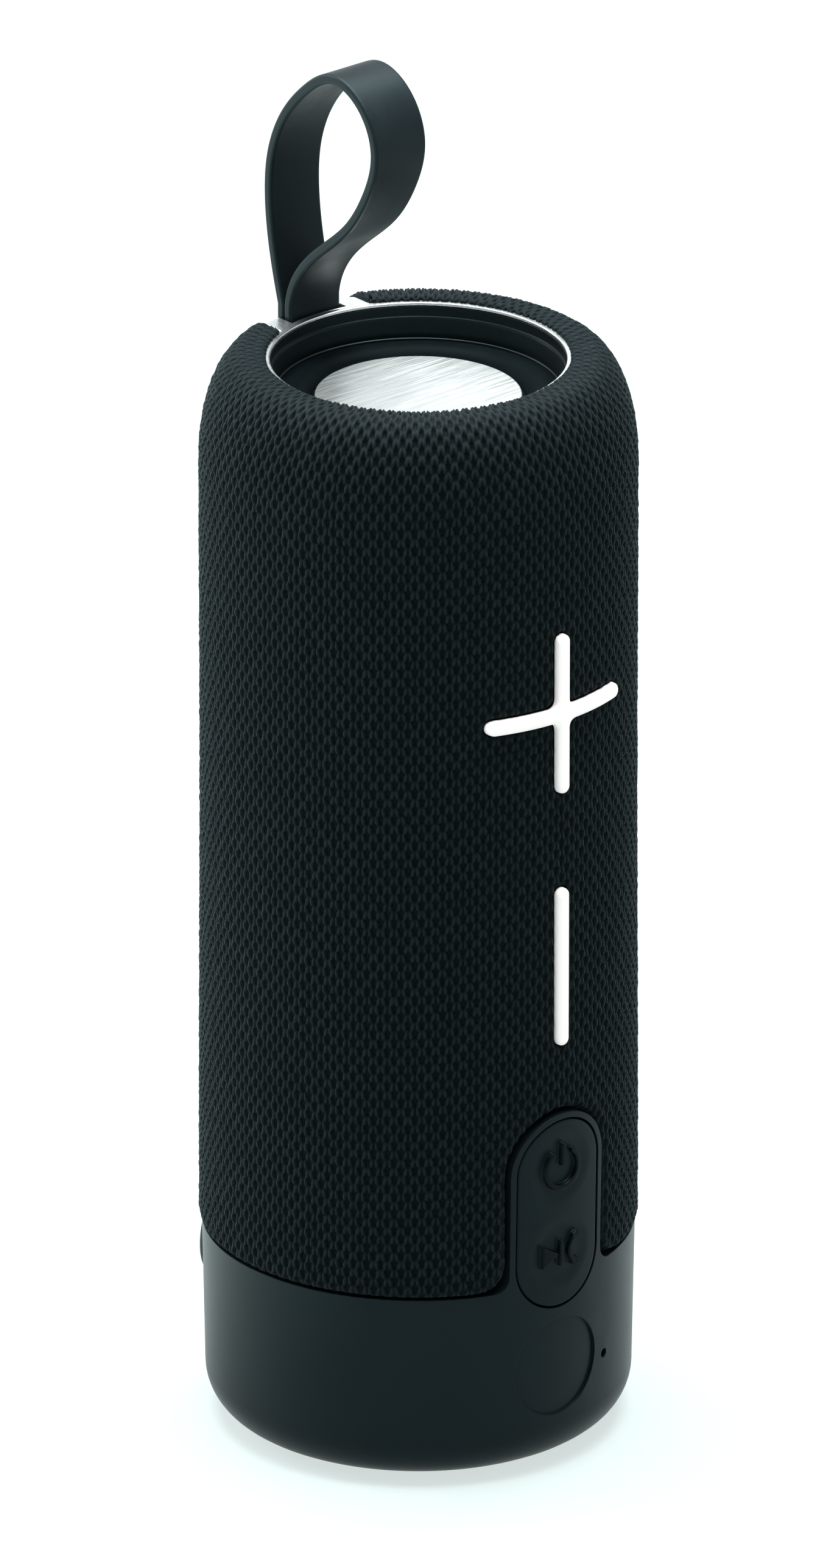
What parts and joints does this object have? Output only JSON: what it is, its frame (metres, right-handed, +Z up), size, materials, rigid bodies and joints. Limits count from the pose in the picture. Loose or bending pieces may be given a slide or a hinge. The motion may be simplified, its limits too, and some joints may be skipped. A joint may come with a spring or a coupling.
{
  "type": "portable bluetooth speaker",
  "caption": "Cylindrical portable speaker with a knitted sleeve, raised plus and minus keys, a base keypad, a passive radiator in a silver-rimmed top well and a strap loop.",
  "frame": {"origin": "centre of the underside of the rubber foot, on the surface the speaker stands on", "axes": "+Z up along the body's axis, -Y towards the keys, +Y towards the strap and the sockets"},
  "size_m": [0.07, 0.0719, 0.2267],
  "materials": {
    "base_plastic": "fine moulded texture, matte black",
    "inner_plastic": "plain black moulding",
    "well_plastic": "satin black",
    "knit": "black polyester knit",
    "silver": "satin silver plating",
    "brushed": "linear brushed",
    "black_rubber": "matte black silicone",
    "white_key": "off-white satin",
    "steel": "zinc plated",
    "board": "green solder mask",
    "ferrite": "sintered ferrite",
    "cell_wrap": "shrink sleeve",
    "switch_black": "small parts, black nylon",
    "paper": "pressed paper cone"
  },
  "bodies": {
    "root": {"base_cup": "base_plastic", "foot_pad": "black_rubber", "fabric_sleeve": "knit", "grille_tube": "inner_plastic", "top_cap": "inner_plastic", "top_rim": "silver", "well_liner": "well_plastic", "radiator_surround": "black_rubber", "strap_root": "black_rubber", "strap_pin": "steel", "keypad_membrane": "black_rubber", "key_board": "board", "key_tray": "inner_plastic", "key_board_screws": "steel", "volume_board": "board", "volume_board_screws": "steel", "flap_anchor": "black_rubber", "usb_socket": "steel", "audio_jack": "switch_black", "card_slot": "steel", "bulkhead": "inner_plastic", "chamber_seal": "black_rubber", "base_screws": "steel", "main_board": "board", "radio_shield": "steel", "capacitors": "brushed", "amplifier_chip": "switch_black", "microphone": "steel", "microphone_boot": "black_rubber", "battery_cell_left": "cell_wrap", "battery_cell_right": "cell_wrap", "battery_cradle": "inner_plastic", "battery_clip": "inner_plastic", "baffle_left": "inner_plastic", "baffle_right": "inner_plastic", "power_switch": "switch_black", "play_switch": "switch_black", "plus_switch": "switch_black", "minus_switch": "switch_black", "driver_baskets": "steel", "driver_front_plates": "steel", "driver_magnets": "ferrite", "driver_yokes": "steel", "driver_suspension_left": "paper", "driver_suspension_right": "paper"},
    "power_button": {"power_key": "black_rubber", "power_stem": "switch_black"},
    "play_button": {"play_key": "black_rubber", "play_stem": "switch_black"},
    "plus_button": {"plus_key": "white_key", "plus_stem": "switch_black"},
    "minus_button": {"minus_key": "white_key", "minus_stem": "switch_black"},
    "flap": {"port_flap": "black_rubber"},
    "radiator": {"radiator_disc": "brushed", "radiator_weight": "steel"},
    "cone_left": {"driver_cone_left": "paper"},
    "cone_right": {"driver_cone_right": "paper"},
    "strap": {"strap_loop": "black_rubber"}
  },
  "joints": [
    {"name": "power_press", "type": "slide", "parent": "root", "child": "power_button", "axis": [0, 1, 0], "range_m": [0, 0.0004], "stiffness_N_per_m": 2500},
    {"name": "play_press", "type": "slide", "parent": "root", "child": "play_button", "axis": [0, 1, 0], "range_m": [0, 0.0004], "stiffness_N_per_m": 2500},
    {"name": "plus_press", "type": "slide", "parent": "root", "child": "plus_button", "axis": [0, 1, 0], "range_m": [0, 0.0005], "stiffness_N_per_m": 2500},
    {"name": "minus_press", "type": "slide", "parent": "root", "child": "minus_button", "axis": [0, 1, 0], "range_m": [0, 0.0005], "stiffness_N_per_m": 2500},
    {"name": "flap_hinge", "type": "hinge", "parent": "root", "child": "flap", "pos_m": [0.0195, 0.02998, 0.0245], "axis": [0, 0, -1], "range_deg": [0, 110], "stiffness_Nm_per_rad": 0.002},
    {"name": "radiator_stroke", "type": "slide", "parent": "root", "child": "radiator", "axis": [0, 0, 1], "range_m": [-0.0015, 0.0015], "stiffness_N_per_m": 1200, "deforming": ["radiator_surround"]},
    {"name": "cone_left_stroke", "type": "slide", "parent": "root", "child": "cone_left", "axis": [-1, 0, 0], "range_m": [-0.001, 0.001], "stiffness_N_per_m": 1500, "deforming": ["driver_suspension_left"]},
    {"name": "cone_right_stroke", "type": "slide", "parent": "root", "child": "cone_right", "axis": [1, 0, 0], "range_m": [-0.001, 0.001], "stiffness_N_per_m": 1500, "deforming": ["driver_suspension_right"]},
    {"name": "strap_flex", "type": "hinge", "parent": "root", "child": "strap", "pos_m": [0, 0.027, 0.1841], "axis": [1, 0, 0], "range_deg": [-40, 20], "stiffness_Nm_per_rad": 0.02}
  ]
}
